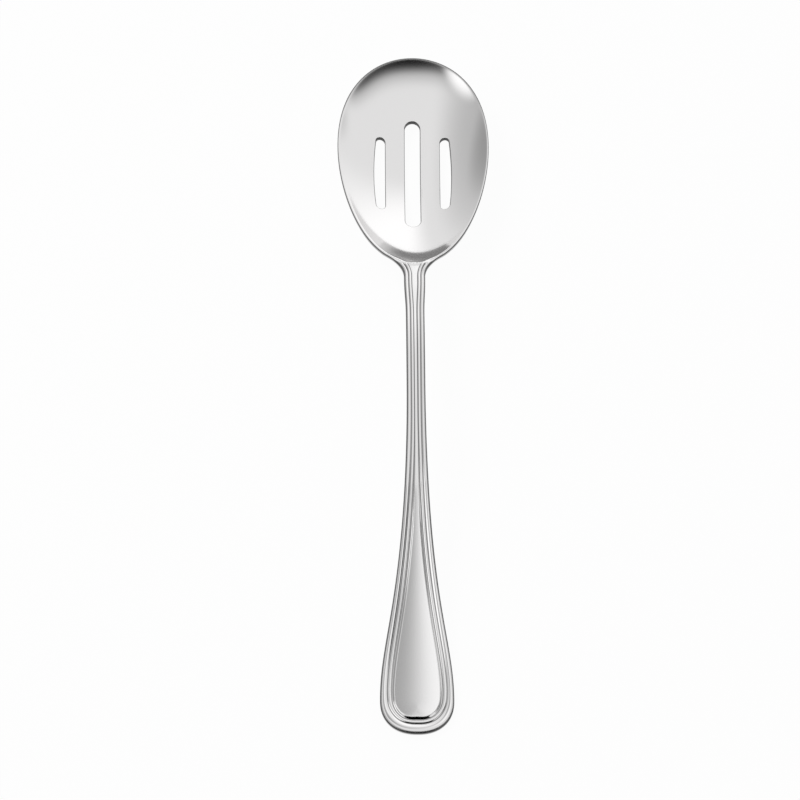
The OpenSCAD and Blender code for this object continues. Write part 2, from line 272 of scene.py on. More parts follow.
def egg_fullness(form, e):
    return 1 + e * (form.egg_lean_share + e * form.egg_full_share)


def bowl_half_width(form, u):
    e = 1 - u / form.bowl_a
    return form.bowl_b * math.sqrt(max(0.0, (1 - e * e) * egg_fullness(form, e)))


# The flat blank

def outline(form):
    """One side of the outline from tip to end, as (distance from the centre line, from the tip)."""
    points = []
    turn = math.acos(1 - form.fillet_u / form.bowl_a)
    for k in range(BOWL_LINES + 1):
        u = form.bowl_a * (1 - math.cos(turn * k / BOWL_LINES))
        points.append(Vector((bowl_half_width(form, u), u)))
    run = form.neck_u - form.fillet_u
    start = points[-1]
    slope = (start.x - bowl_half_width(form, form.fillet_u - AXIS_STEP)) / AXIS_STEP
    end = Vector((form.neck_b, form.neck_u))
    lead = start + Vector((slope, 1)) * form.fillet_lead_share * run
    tail = end - Vector((0, 1)) * form.fillet_tail_share * run
    points += [cubic(start, lead, tail, end, k / FILLET_LINES) for k in range(1, FILLET_LINES + 1)]
    for k in range(1, STEM_LINES + 1):
        u = mix(form.neck_u, form.flare_u, k / STEM_LINES)
        narrow = ease((u - form.neck_u) / form.neck_run)
        points.append(Vector((mix(form.neck_b, form.stem_b, narrow), u)))
    run = form.wide_u - form.flare_u
    start = Vector((form.stem_b, form.flare_u))
    end = Vector((form.handle_b, form.wide_u))
    lead = start + Vector((0, form.flare_lead_share * run))
    tail = end - Vector((0, form.flare_tail_share * run))
    points += [cubic(start, lead, tail, end, k / FLARE_LINES) for k in range(1, FLARE_LINES + 1)]
    power = 2 / form.end_power
    for k in range(1, END_LINES + 1):
        angle = math.pi / 2 * k / END_LINES
        across = math.cos(angle) if k < END_LINES else 0.0
        points.append(Vector((form.handle_b * across ** power,
                              form.wide_u + form.end_l * math.sin(angle) ** power)))
    return points


def cross_lines(form):
    """The lines from the outline to the centre line, with what the border does on each."""
    side = outline(form)
    last = len(side) - 1
    end_start = last - END_LINES
    lines = []
    for i, edge in enumerate(side):
        if i < end_start:
            before, after = side[max(0, i - 1)], side[i + 1]
            bend = (after.x ** 2 - before.x ** 2) / (2 * (after.y - before.y))
            axis = edge.y + form.square_share * bend
        else:
            turned = math.sin(math.pi / 2 * (i - end_start) / END_LINES)
            axis = form.wide_u + form.end_l * form.end_fan_share * turned
        if lines:
            axis = max(axis, lines[-1].axis + AXIS_STEP)
        line = SimpleNamespace(edge=edge, axis=axis)
        line.reach = math.hypot(edge.x, edge.y - axis)
        line.handle = ease((edge.y - form.fillet_u) / (form.neck_u - form.fillet_u))
        widening = max(0.0, min(1.0, (edge.x - form.stem_b) / (form.handle_b - form.stem_b)))
        line.growth = math.sqrt(widening * ease((edge.y - form.flare_u) / form.neck_run))
        if edge.y > form.wide_u:
            line.growth = 1.0
        line.tail = ease((edge.y - form.wide_u + form.end_l / 2) / (form.end_l * 3 / 2))
        # Round the end the crown keeps the height that it has where the end starts
        if i <= end_start:
            crown = form.crown_share * max(form.edge_r, line.reach - sum(border_widths(form, line)))
        line.crown = crown
        lines.append(line)
    return lines


def border_widths(form, line):
    """Widths of the outer bead and of the thread inside it."""
    bead = mix(form.stem_bead_w, form.side_bead_w, line.growth)
    bead = mix(bead, form.end_bead_w, line.tail)
    return bead, mix(form.stem_thread_w, form.end_thread_w, line.growth)


def ring_insets(form, line):
    """How far in from the outline each ring crosses a cross line."""
    insets = [form.edge_r * (1 - math.cos(math.pi / 2 * k / EDGE_RINGS)) for k in range(EDGE_RINGS)]
    wall = min(form.wall_run, WALL_SHARE * line.reach)
    bowl = [mix(form.edge_r, form.lip_w, k / (LIP_RINGS - 1)) for k in range(LIP_RINGS)]
    bowl += [mix(form.lip_w, wall, (k / WALL_RINGS) ** WALL_CROWDING)
             for k in range(1, WALL_RINGS + 1)]
    bowl += [mix(wall, line.reach, k / FLOOR_RINGS) for k in range(1, FLOOR_RINGS + 1)]
    bead, thread = border_widths(form, line)
    border = bead + thread
    shoulder = min(form.shoulder_w, form.shoulder_share * max(0.0, line.reach - border))
    handle = [mix(form.edge_r, bead, k / (BEAD_RINGS - 1)) for k in range(BEAD_RINGS)]
    handle += [mix(bead, border, k / THREAD_RINGS) for k in range(1, THREAD_RINGS + 1)]
    handle += [border + shoulder * k / SHOULDER_RINGS for k in range(1, SHOULDER_RINGS + 1)]
    handle += [mix(border + shoulder, line.reach, k / PANEL_RINGS)
               for k in range(1, PANEL_RINGS + 1)]
    return insets + [mix(a, b, line.handle) for a, b in zip(bowl, handle)]


def slot_outline(radius, slot_l, base_r, bow):
    """Points round a slot, counterclockwise: round ends, a straight side and a bowed side."""
    h = slot_l / 2 - base_r
    turn = math.atan(2 * bow / h)
    points = []
    for k in range(SLOT_END_STEPS + 1):
        a = mix(math.pi, 2 * math.pi - turn, k / SLOT_END_STEPS)
        points.append((radius * math.cos(a), -h + radius * math.sin(a)))
    for k in range(1, SLOT_SIDE_STEPS):
        v = mix(-h, h, k / SLOT_SIDE_STEPS)
        a = math.atan(2 * bow * v / (h * h))
        points.append((bow * (1 - (v / h) ** 2) + radius * math.cos(a), v + radius * math.sin(a)))
    for k in range(SLOT_END_STEPS + 1):
        a = mix(turn, math.pi, k / SLOT_END_STEPS)
        points.append((radius * math.cos(a), h + radius * math.sin(a)))
    points += [(-radius, mix(h, -h, k / SLOT_SIDE_STEPS)) for k in range(1, SLOT_SIDE_STEPS)]
    return points


class Plan:
    """The blank seen from above: points with what the strike needs to know, and faces."""

    FIELDS = ("inset", "reach", "growth", "tail", "crown", "gap")

    def __init__(self, form):
        self.form = form
        self.points = []
        self.values = {name: [] for name in self.FIELDS}
        self.faces = []
        self.fills = []

    def add(self, x, u, inset, reach, growth=0.0, tail=0.0, crown=0.0, gap=1.0):
        self.points.append((x, self.form.overall_l / 2 - u))
        for name, value in zip(self.FIELDS, (inset, reach, growth, tail, crown, gap)):
            self.values[name].append(value)
        return len(self.points) - 1

    def add_face(self, *corners):
        """Adds a face and turns it counterclockwise."""
        spots = [self.points[c] for c in corners]
        area = sum(a[0] * b[1] - b[0] * a[1] for a, b in zip(spots, spots[1:] + spots[:1]))
        self.faces.append(corners if area > 0 else corners[::-1])

    def rings(self):
        """Rings beside the outline; in the bowl they stop at the floor, which is filled later."""
        form = self.form
        lines = cross_lines(form)
        last = len(lines) - 1
        depth = len(ring_insets(form, lines[0])) - 1
        floor_ring = EDGE_RINGS + LIP_RINGS + WALL_RINGS - 1
        floor_end = form.slot_u + form.mid_slot_l / 2 + 2 * form.collar_w
        floor_line = next(i for i, line in enumerate(lines) if line.axis > floor_end)
        spots = {}
        for i, line in enumerate(lines):
            insets = ring_insets(form, line)
            for j, inset in enumerate(insets):
                if i < floor_line and j > floor_ring:
                    break
                part = inset / line.reach
                x = line.edge.x * (1 - part)
                u = mix(line.edge.y, line.axis, part)
                on_axis = i in (0, last) or j == depth
                for hand in (1, -1):
                    if hand < 0 and on_axis:
                        spots[i, j, hand] = spots[i, j, 1]
                        continue
                    spots[i, j, hand] = self.add(
                        0.0 if on_axis else hand * x, u, inset, line.reach,
                        line.growth, line.tail, line.crown)
        for i in range(last):
            for j in range(floor_ring if i < floor_line else depth):
                for hand in (1, -1):
                    self.add_face(spots[i, j, hand], spots[i + 1, j, hand],
                                  spots[i + 1, j + 1, hand], spots[i, j + 1, hand])
        right = [spots[i, floor_ring, 1] for i in range(floor_line + 1)]
        right += [spots[floor_line, j, 1] for j in range(floor_ring + 1, depth + 1)]
        left = [spots[floor_line, j, -1] for j in range(depth - 1, floor_ring, -1)]
        left += [spots[i, floor_ring, -1] for i in range(floor_line, 0, -1)]
        self.floor_edge = right + left

    def collar(self, centre_x, slot_l, slot_w, bow, hand):
        """The rolled edge of a slot and a plain band round it."""
        form = self.form
        base_r = slot_w / 2
        gaps = [form.slot_edge_r * (1 - math.cos(math.pi / 2 * k / ROLL_RINGS))
                for k in range(ROLL_RINGS + 1)]
        gaps += [form.slot_edge_r + (form.collar_w - form.slot_edge_r) * part
                 for part in COLLAR_SHARES]
        rings = []
        for gap in gaps:
            ring = []
            for x, v in slot_outline(base_r + gap, slot_l, base_r, bow):
                place = hand * (centre_x + x)
                ring.append(self.add_floor(place, form.slot_u - v, gap))
            rings.append(ring)
        for inner, outer in zip(rings, rings[1:]):
            for k in range(len(inner)):
                n = (k + 1) % len(inner)
                self.add_face(inner[k], outer[k], outer[n], inner[n])
        self.fills.append(rings[-1])

    def add_floor(self, x, u, gap=1.0):
        """A point on the bowl's floor, far from the outline."""
        reach = max(self.form.wall_run, bowl_half_width(self.form, u))
        return self.add(x, u, max(self.form.wall_run, reach - abs(x)), reach, gap=gap)

    def slots(self):
        form = self.form
        self.collar(0.0, form.mid_slot_l, form.mid_slot_w, 0.0, 1)
        centre = form.side_slot_x + form.side_slot_w / 2
        for hand in (1, -1):
            self.collar(centre, form.side_slot_l, form.side_slot_w, form.side_slot_bow, hand)

    def fill_floor(self):
        """Fills the bowl's floor between the rings and the slots with even triangles."""
        form = self.form
        loops = [self.floor_edge] + self.fills
        walls = [np.array([self.points[c] for c in loop]) for loop in loops]
        step = form.floor_step
        low, high = walls[0].min(axis=0), walls[0].max(axis=0)
        row_step = step * math.sqrt(3) / 2
        rows = int((high[1] - low[1]) / row_step)
        columns = int(high[0] / step) + 1
        spread = []
        for row in range(rows + 1):
            shift = 0.5 * (row % 2)
            for column in range(-columns, columns + 1):
                spread.append(((column + shift) * step, low[1] + row * row_step))
        spread = np.array(spread)
        keep = inside(spread, walls[0])
        for wall in walls[1:]:
            keep &= ~inside(spread, wall)
        for wall in walls:
            keep &= distance(spread, wall) > FILL_GAP_SHARE * step
        used = [c for loop in loops for c in loop]
        used += [self.add_floor(x, form.overall_l / 2 - y) for x, y in spread[keep]]
        place = {c: k for k, c in enumerate(used)}
        edges = [(place[loop[k]], place[loop[(k + 1) % len(loop)]])
                 for loop in loops for k in range(len(loop))]
        spots = [Vector(self.points[c]) for c in used]
        found = delaunay_2d_cdt(spots, edges, [], TRIANGLES_INSIDE, SAME_POINT, True)
        origin = [ids[0] for ids in found[3]]
        corners = np.array([[used[origin[k]] for k in face] for face in found[2]])
        middles = np.array(self.points)[corners].mean(axis=1)
        keep = inside(middles, walls[0])
        for wall in walls[1:]:
            keep &= ~inside(middles, wall)
        for face in corners[keep]:
            self.add_face(*(int(c) for c in face))

    def solid(self):
        """Doubles the plan into a top and a back, and closes every open edge with a wall."""
        count = len(self.points)
        edges = {}
        for face in self.faces:
            for a, b in zip(face, face[1:] + face[:1]):
                edges[a, b] = True
        rims = [edge for edge in edges if (edge[1], edge[0]) not in edges]
        faces = list(self.faces)
        faces += [tuple(c + count for c in reversed(face)) for face in self.faces]
        faces += [(b, a, a + count, b + count) for a, b in rims]
        points = [(x, y, 0.0) for x, y in self.points] * 2
        values = {name: data * 2 for name, data in self.values.items()}
        values["layer"] = [0.0] * count + [1.0] * count
        return points, faces, values


def inside(points, loop):
    """Which points lie inside a closed loop."""
    result = np.zeros(len(points), bool)
    ends = np.roll(loop, -1, axis=0)
    for (ax, ay), (bx, by) in zip(loop, ends):
        crosses = (ay > points[:, 1]) != (by > points[:, 1])
        if ay != by:
            at = ax + (points[:, 1] - ay) * (bx - ax) / (by - ay)
            result ^= crosses & (points[:, 0] < at)
    return result


def distance(points, loop):
    """How far each point lies from a closed loop."""
    nearest = np.full(len(points), np.inf)
    for a, b in zip(loop, np.roll(loop, -1, axis=0)):
        along = b - a
        part = np.clip((points - a) @ along / (along @ along), 0, 1)
        away = np.linalg.norm(points - (a + part[:, None] * along), axis=1)
        nearest = np.minimum(nearest, away)
    return nearest


# Node arithmetic

def add_node(tree, kind, inputs=(), **settings):
    """A node with its settings. Each input is linked to a term or a socket, or set to a value."""
    node = tree.nodes.new(kind)
    for name, value in settings.items():
        setattr(node, name, value)
    for slot, value in dict(inputs).items():
        if isinstance(value, Term):
            value = value.socket
        if isinstance(value, bpy.types.NodeSocket):
            tree.links.new(value, node.inputs[slot])
        else:
            node.inputs[slot].default_value = value
    return node


class Term:
    """A number inside a node tree. Sums and products of terms become Math nodes."""

    def __init__(self, socket, tree):
        self.socket = socket
        self.tree = tree

    def math(self, operation, *others):
        inputs = enumerate((self, *others))
        node = add_node(self.tree, "ShaderNodeMath", inputs, operation=operation)
        return Term(node.outputs[0], self.tree)

    def __add__(self, other):
        return self.math("ADD", other)

    def __sub__(self, other):
        return self.math("SUBTRACT", other)

    def __mul__(self, other):
        return self.math("MULTIPLY", other)

    def __truediv__(self, other):
        return self.math("DIVIDE", other)

    def __neg__(self):
        return self.math("MULTIPLY", -1.0)

    def __rsub__(self, other):
        return (-self) + other

    __radd__ = __add__
    __rmul__ = __mul__

    def square(self):
        return self * self

    def root(self):
        return self.math("MAXIMUM", 0.0).math("SQRT")

    def size(self):
        return self.math("ABSOLUTE")

    def at_least(self, other):
        return self.math("MAXIMUM", other)

    def at_most(self, other):
        return self.math("MINIMUM", other)

    def power(self, other):
        return self.math("POWER", other)

    def ease(self):
        """The same smooth step as ease(), as a node."""
        node = add_node(self.tree, "ShaderNodeMapRange", {"Value": self},
                        interpolation_type="SMOOTHERSTEP")
        return Term(node.outputs["Result"], self.tree)


def axes_of(vector, tree):
    """The x, y and z of a vector."""
    split = add_node(tree, "ShaderNodeSeparateXYZ", {0: vector})
    return [Term(socket, tree) for socket in split.outputs]


def blend(a, b, part):
    """The mix of two terms or numbers."""
    return part * (b - a) + a


def soft_min(a, b, softness):
    """The lower of two heights, with the corner between them softened."""
    return (a + b - ((a - b).square() + softness * softness).root()) * 0.5


def edge_drop(radius, inset):
    """How far a rounded edge has dropped at a distance from the outline."""
    return radius - (radius.square() - (radius - inset).at_least(0.0).square()).root()


def lobe(distance_in, width):
    """A round bead over a band that starts at 0 and has the given width."""
    return (1.0 - (distance_in * 2.0 / width - 1.0).square()).at_least(0.0)


def near(distance_in, place, width):
    """A mask, 1 at the given distance in and 0 a width away from it."""
    return (1.0 - (distance_in - place).size() / width).ease()


# The strike

BLANK_FIELDS = (*Plan.FIELDS, "layer")
STRIKE_SIZES = (
    "overall_l", "bowl_a", "bowl_b", "bowl_depth", "bowl_l", "bowl_t", "lip_w", "rim_h", "rise_u",
    "arch_h", "arch_u", "stem_t", "handle_t", "flare_u", "wide_u", "stem_bead_w", "side_bead_w",
    "end_bead_w", "stem_thread_w", "end_thread_w", "bead_h", "thread_h", "panel_h", "shoulder_w",
    "shoulder_share", "edge_r", "slot_edge_r", "fade_run", "ridge_h", "ridge_b", "ridge_l", "neck_u",
    "neck_run", "crease_r", "heel_l", "heel_b", "heel_r", "tip_lip_share", "egg_lean_share",
    "egg_full_share", "dish_share", "stem_back_share", "handle_back_share", "groove_w", "cut_and_shade_w")


def strike_heights(size, x, y, given):
    """The struck height of a point of the blank, and the masks that its finish and its painted shade
    follow.
    """
    x = x.size()
    u = size.overall_l * 0.5 - y

    top_line = (
        size.rim_h
        + (size.arch_h - size.rim_h) * ((u - size.rise_u) / (size.arch_u - size.rise_u)).ease()
        - (size.arch_h - size.handle_t)
        * ((u - size.arch_u) / (size.overall_l - size.arch_u)).ease())

    e = 1.0 - u / size.bowl_a
    e_in = e.at_least(-1.0)
    fullness = 1.0 + e_in * (size.egg_lean_share + e_in * size.egg_full_share)
    bowl_share = e.square() + x.square() / (size.bowl_b.square() * fullness)
    inner = 1.0 - size.lip_w / size.bowl_b
    shift = (1.0 - inner) * (1.0 - size.tip_lip_share) * 0.5
    along = (e - shift) / (inner + shift)
    across = x / (size.bowl_b * inner)
    hollow = (along.square() + across.square() / fullness).at_most(2.0)
    dish = top_line - size.bowl_depth * (1.0 - hollow) * (1.0 + size.dish_share * hollow)
    border_part = ((bowl_share.root() - 1.0) * size.bowl_a / size.fade_run).ease()

    bead = blend(size.stem_bead_w, size.side_bead_w, given.growth)
    bead = blend(bead, size.end_bead_w, given.tail)
    thread = blend(size.stem_thread_w, size.end_thread_w, given.growth)
    border = bead + thread
    panel_b = (given.reach - border).at_least(size.edge_r)
    shoulder = (size.shoulder_share * panel_b).at_most(size.shoulder_w)
    rise = (given.growth * 2.0).ease()
    in_panel = given.inset - border
    swell = 1.0 - (1.0 - in_panel.at_least(0.0) / panel_b).square()
    relief = (
        lobe(given.inset, bead) * size.bead_h - size.bead_h
        + lobe(given.inset - bead, thread) * size.thread_h
        + rise * (size.panel_h * (in_panel / shoulder.at_least(size.edge_r)).ease()
                  + given.crown * swell))
    ridge = (
        size.ridge_h * (1.0 - x / size.ridge_b).ease()
        * ((u - size.bowl_l + size.ridge_l) / size.ridge_l).ease()
        * (1.0 - ((u - size.neck_u) / size.neck_run).ease()))
    top = soft_min(top_line + ridge + border_part * relief, dish, size.crease_r)

    heel = ((u - size.bowl_l + size.heel_l) / size.heel_l).ease()
    spread = ((u - size.flare_u) / (size.wide_u - size.flare_u)).ease()
    gauge = blend(blend(size.bowl_t, size.stem_t, heel), size.handle_t, spread)
    roundness = blend(size.stem_back_share, size.handle_back_share, spread) * heel
    heel_part = (1.0 - x / size.heel_b).ease() * heel * (
        1.0 - ((u - size.neck_u) / size.heel_l).ease())
    heel_fill = blend(size.crease_r, size.heel_r, heel_part)
    out = 1.0 - given.inset / given.reach
    back = soft_min(top_line, dish, heel_fill) - gauge * (1.0 - roundness * out.square()).root()

    drop = edge_drop(size.edge_r, given.inset) + edge_drop(size.slot_edge_r, given.gap)
    height = blend(top - drop, back + drop, given.layer)
    on_top = 1.0 - given.layer
    # The edge's line, a less polished blanked edge darkened further with painted shade, is wide at the
    # tip and beside the border, and faint on the back. The grooves' lines of painted shade are a quarter
    # wider along the stem.
    cut_and_shade_w = blend(size.edge_r, size.cut_and_shade_w, e.ease().at_least(border_part))
    groove_w = size.groove_w * (1.25 - given.growth * 0.25)
    grooves = near(given.inset, bead, groove_w).at_least(near(given.inset, border, groove_w))
    rim_cut_and_shade = (1.0 - (given.inset / cut_and_shade_w).ease()) * (1.0 - given.layer * 0.7)
    masks = {
        "panel": (in_panel / size.shoulder_w).ease() * rise * on_top,
        # Painted shade along the grooves
        "recess": grooves * border_part * on_top,
        # A less polished blanked edge, also carrying painted shade
        "cut": rim_cut_and_shade.at_least(1.0 - (given.gap / size.slot_edge_r).ease())}
    return height, masks


def read_field(name, tree):
    """A value that the mesh carries at each point."""
    node = add_node(tree, "GeometryNodeInputNamedAttribute", {"Name": name}, data_type="FLOAT")
    return Term(node.outputs["Attribute"], tree)


def strike_tree(polish, satin):
    """The die as a node tree: it lifts each point of the flat blank to its struck height."""
    tree = bpy.data.node_groups.new("strike", "GeometryNodeTree")
    face = tree.interface
    face.new_socket("Blank", in_out="INPUT", socket_type="NodeSocketGeometry")
    face.new_socket("Spoon", in_out="OUTPUT", socket_type="NodeSocketGeometry")
    for name in STRIKE_SIZES:
        face.new_socket(name, in_out="INPUT", socket_type="NodeSocketFloat")
    entry = add_node(tree, "NodeGroupInput")
    size = SimpleNamespace(**{name: Term(entry.outputs[name], tree) for name in STRIKE_SIZES})
    x, y, _ = axes_of(add_node(tree, "GeometryNodeInputPosition").outputs[0], tree)
    given = SimpleNamespace(**{name: read_field(name, tree) for name in BLANK_FIELDS})
    height, masks = strike_heights(size, x, y, given)

    stage = entry.outputs["Blank"]
    for name, mask in masks.items():
        store = add_node(tree, "GeometryNodeStoreNamedAttribute",
                         {"Geometry": stage, "Name": name, "Value": mask}, data_type="FLOAT")
        stage = store.outputs["Geometry"]
    struck_place = add_node(tree, "ShaderNodeCombineXYZ", {"X": x, "Y": y, "Z": height})
    is_panel = add_node(tree, "FunctionNodeCompare", {"A": read_field("panel", tree), "B": 0.5},
                        data_type="FLOAT", operation="GREATER_THAN")
    for kind, inputs in (
            ("GeometryNodeSetPosition", {"Position": struck_place.outputs[0]}),
            ("GeometryNodeSetShadeSmooth", {}),
            ("GeometryNodeRealizeInstances", {}),
            ("GeometryNodeSetMaterial", {"Material": polish}),
            ("GeometryNodeSetMaterial", {"Material": satin, "Selection": is_panel.outputs["Result"]})):
        stage = add_node(tree, kind, {"Geometry": stage, **inputs}).outputs["Geometry"]
    add_node(tree, "NodeGroupOutput", {"Spoon": stage})
    return tree


def struck(name, plan, form, materials):
    """Strikes a flat blank and returns the finished piece as a plain mesh."""
    points, faces, values = plan.solid()
    flat = bpy.data.meshes.new(name + "_blank")
    flat.from_pydata(points, [], faces)
    for field, data in values.items():
        flat.attributes.new(field, "FLOAT", "POINT").data.foreach_set("value", data)
    for material in materials:
        flat.materials.append(material)
    blank = bpy.data.objects.new(name + "_blank", flat)
    bpy.context.scene.collection.objects.link(blank)
    tree = strike_tree(*materials)
    strike = blank.modifiers.new("Strike", "NODES")
    strike.node_group = tree
    for socket in tree.interface.items_tree:
        if socket.in_out == "INPUT" and socket.name in STRIKE_SIZES:
            strike[socket.identifier] = getattr(form, socket.name)
    bpy.context.view_layer.update()
    seen = blank.evaluated_get(bpy.context.evaluated_depsgraph_get())
    mesh = bpy.data.meshes.new_from_object(seen)
    bpy.data.objects.remove(blank)
    bpy.data.meshes.remove(flat)
    mesh.name = name
    place = np.zeros(len(mesh.vertices) * 3, np.float32)
    mesh.vertices.foreach_get("co", place)
    place[2::3] += LOW[2] - place[2::3].min()
    mesh.vertices.foreach_set("co", place)
    for field in BLANK_FIELDS:
        mesh.attributes.remove(mesh.attributes[field])
    mesh.update()
    piece = bpy.data.objects.new(name, mesh)
    bpy.context.scene.collection.objects.link(piece)
    return piece


# The finish

def fine_polish_group():
    """Fine polishing lines and a slow change of tone, shared by both finishes."""
    group = bpy.data.node_groups.new("fine_polish", "ShaderNodeTree")
    face = group.interface
    for name, default in (("Lines per metre", 8000.0), ("Stretch", 30.0), ("Cloud scale", 25.0)):
        socket = face.new_socket(name, in_out="INPUT", socket_type="NodeSocketFloat")
        socket.default_value = default
    for name in ("Lines", "Clouds"):
        face.new_socket(name, in_out="OUTPUT", socket_type="NodeSocketFloat")
    entry = add_node(group, "NodeGroupInput")
    where = add_node(group, "ShaderNodeTexCoord").outputs["Object"]
    per_metre = Term(entry.outputs["Lines per metre"], group)
    x, y, z = [along * per_metre for along in axes_of(where, group)]
    y = y / Term(entry.outputs["Stretch"], group)
    join = add_node(group, "ShaderNodeCombineXYZ", {"X": x, "Y": y, "Z": z})
    lines = add_node(group, "ShaderNodeTexNoise",
                     {"Vector": join.outputs[0], "Scale": 1.0, "Detail": 3.0})
    clouds = add_node(group, "ShaderNodeTexNoise",
                      {"Vector": where, "Scale": entry.outputs["Cloud scale"], "Detail": 2.0})
    add_node(group, "NodeGroupOutput",
             {"Lines": lines.outputs["Fac"], "Clouds": clouds.outputs["Fac"]})
    return group


def cleared_tree(owner):
    """The empty node tree of a material or a world."""
    owner.use_nodes = True
    owner.node_tree.nodes.clear()
    return owner.node_tree


def read_mask(name, tree):
    """One of the masks that the strike stored on the mesh."""
    return Term(add_node(tree, "ShaderNodeAttribute", attribute_name=name).outputs["Fac"], tree)


def steel_material(name, group, finish, roughness, spread, line_share, stretch):
    """Polished steel: the group's clouds and lines vary its tone, roughness and surface, and painted
    shade darkens its blanked edges and grooves.
    """
    material = bpy.data.materials.new(name)
    tree = cleared_tree(material)
    detail = add_node(tree, "ShaderNodeGroup", node_tree=group)
    detail.inputs["Lines per metre"].default_value = 1.0 / finish.grain_width
    detail.inputs["Stretch"].default_value = stretch
    clouds = Term(detail.outputs["Clouds"], tree)
    lines = Term(detail.outputs["Lines"], tree)
    # The blanked edges' mask: a rougher, less polished finish and painted shade
    cut = read_mask("cut", tree)
    # The grooves' mask gives painted shade and a little more roughness.
    recess = read_mask("recess", tree)
    # Clouds and lines both average a half, which leaves the mean roughness as given
    rough = clouds * (2.0 * spread) + lines * spread + (roughness - 1.5 * spread)
    rough = rough + (cut * finish.cut_rough).at_least(recess * 0.5 * finish.cut_rough)
    tone = add_node(tree, "ShaderNodeMix", {
        "Factor": clouds,
        "A": (*(c * finish.cloud_low for c in finish.steel), 1),
        "B": (*(c * finish.cloud_high for c in finish.steel), 1)}, data_type="RGBA")
    # Painted shade: blanked edges and grooves are darkened in the base colour; the edges are also less
    # polished.
    dull_and_shade = blend(1.0, finish.cut_and_shade_tone, cut) * blend(1.0, finish.groove_shade, recess)
    shade = add_node(tree, "ShaderNodeVectorMath", {0: tone.outputs["Result"], "Scale": dull_and_shade},
                     operation="SCALE")
    bump = add_node(tree, "ShaderNodeBump", {
        "Strength": line_share, "Distance": finish.grain_depth, "Height": lines})
    shader = add_node(tree, "ShaderNodeBsdfPrincipled", {
        "Metallic": 1.0, "Roughness": rough, "Base Color": shade.outputs[0],
        "Normal": bump.outputs["Normal"]})
    add_node(tree, "ShaderNodeOutputMaterial", {"Surface": shader.outputs[0]})
    return material


# The studio

# How a screen turns light into greys, the camera's sensor in millimetres and how far it sees
DISPLAY_GAMMA = 2.2
SENSOR_W = 36.0
SIGHT = 20.0

# Keeps the floor from touching the spoon
FLOOR_GAP = 0.05 * MM

# Greys that polished steel shows: at the far left, elsewhere, at the back wall and in the lamp
LEFT_GREY = 0.69
MAIN_GREY = 0.87
WALL_GREY = 1.0
LAMP_GREY = 1.02

# Cards above the spoon: place, greys at their left and right, and where one turns into the other
CARD_H = 150 * MM
CARDS = (
    SimpleNamespace(name="handle_card", x_span=(-60 * MM, 60 * MM), y_span=(-125 * MM, -45 * MM),
                    greys=(0.62, 0.96), middle=4 * MM, run=80 * MM),
    SimpleNamespace(name="tip_card", x_span=(-29 * MM, 32 * MM), y_span=(212 * MM, 266 * MM),
                    greys=(0.5, 0.82), middle=21 * MM, run=26 * MM),
)

# The mirrored lamp's oval: its direction, the way it lies, half its length and width, and its softness
LAMP_OVAL = ((-0.727, -0.253, 0.638), (0.423, -0.478, 0.34), 0.70, 0.23, 0.2)


def light_for(grey, steel):
    """The light that polished steel shows as the given grey of a picture."""
    return grey.power(DISPLAY_GAMMA) / steel


def ramp(value, start, run):
    """A mask that goes from 0 to 1 as a value goes on from its start over a run."""
    return ((value - start) / run).ease()


def soft_box(direction, centre, along, half_length, half_width, softness):
    """A mask, 1 inside a soft oval of the sky round a direction and 0 outside it."""
    tree = direction.tree
    centre = Vector(centre).normalized()
    along = Vector(along)
    along = (along - along.dot(centre) * centre).normalized()
    parts = []
    for axis in (centre, along, centre.cross(along)):
        node = add_node(tree, "ShaderNodeVectorMath", {0: direction, 1: axis},
                        operation="DOT_PRODUCT")
        parts.append(Term(node.outputs["Value"], tree))
    ahead = parts[0].at_least(0.01)
    reach = (parts[1] / ahead / half_length).square() + (parts[2] / ahead / half_width).square()
    return ((1.0 + softness - reach.root()) / (2 * softness)).ease()


def studio_world(finish):
    """A pale studio with a white back wall, a soft lamp on the left and a dark end in front."""
    world = bpy.data.worlds.new("studio")
    tree = cleared_tree(world)
    direction = Term(add_node(tree, "ShaderNodeTexCoord").outputs["Generated"], tree)
    x, y, _ = axes_of(direction, tree)

    grey = blend(LEFT_GREY, MAIN_GREY, ramp(x, -1.0, 0.74))
    grey = blend(grey, WALL_GREY, ramp(y, 0.445, 0.45) * ramp(x, -0.345, 0.52))

    # The dark place in front bends round with x, and ends towards the sides
    wide = x.size()
    bent = x.square()
    front = bent * 0.441 + bent.square() * 0.323 - y
    ahead = (1.0 - ramp(front, 0.5, 0.15) * ramp(wide, 0.42, 0.22)) * (1.0 - ramp(wide, 0.8, 0.17))
    grey = grey * (1.0 - ramp(front, 0.24, 0.26) * ahead * 0.5)
    grey = grey * (1.0 - ramp(front, 0.335, 0.105) * ahead * 0.95)

    # Both sides are a little darker near the floor
    grey = grey * (1.0 - ramp(y.square() * 0.3 - x, 0.83, 0.1) * 0.18)
    grey = grey * (1.0 - ramp(x, 0.845, 0.09) * 0.35)
    grey = blend(grey, LAMP_GREY, soft_box(direction, *LAMP_OVAL))
    light = light_for(grey, finish.steel[1])
    shown = add_node(tree, "ShaderNodeBackground", {"Color": light})
    add_node(tree, "ShaderNodeOutputWorld", {"Surface": shown.outputs[0]})
    return world


def card_material(name, finish, left_grey, right_grey, middle, run):
    """A glowing card, graded from its left to its right, that polished steel shows as these greys."""
    material = bpy.data.materials.new(name)
    tree = cleared_tree(material)
    x = axes_of(add_node(tree, "ShaderNodeTexCoord").outputs["Object"], tree)[0]
    grey = blend(left_grey, right_grey, ramp(x, middle - run / 2, run))
    glow = add_node(tree, "ShaderNodeEmission", {"Color": light_for(grey, finish.steel[1])})
    add_node(tree, "ShaderNodeOutputMaterial", {"Surface": glow.outputs[0]})
    material.cycles.emission_sampling = "NONE"
    return material


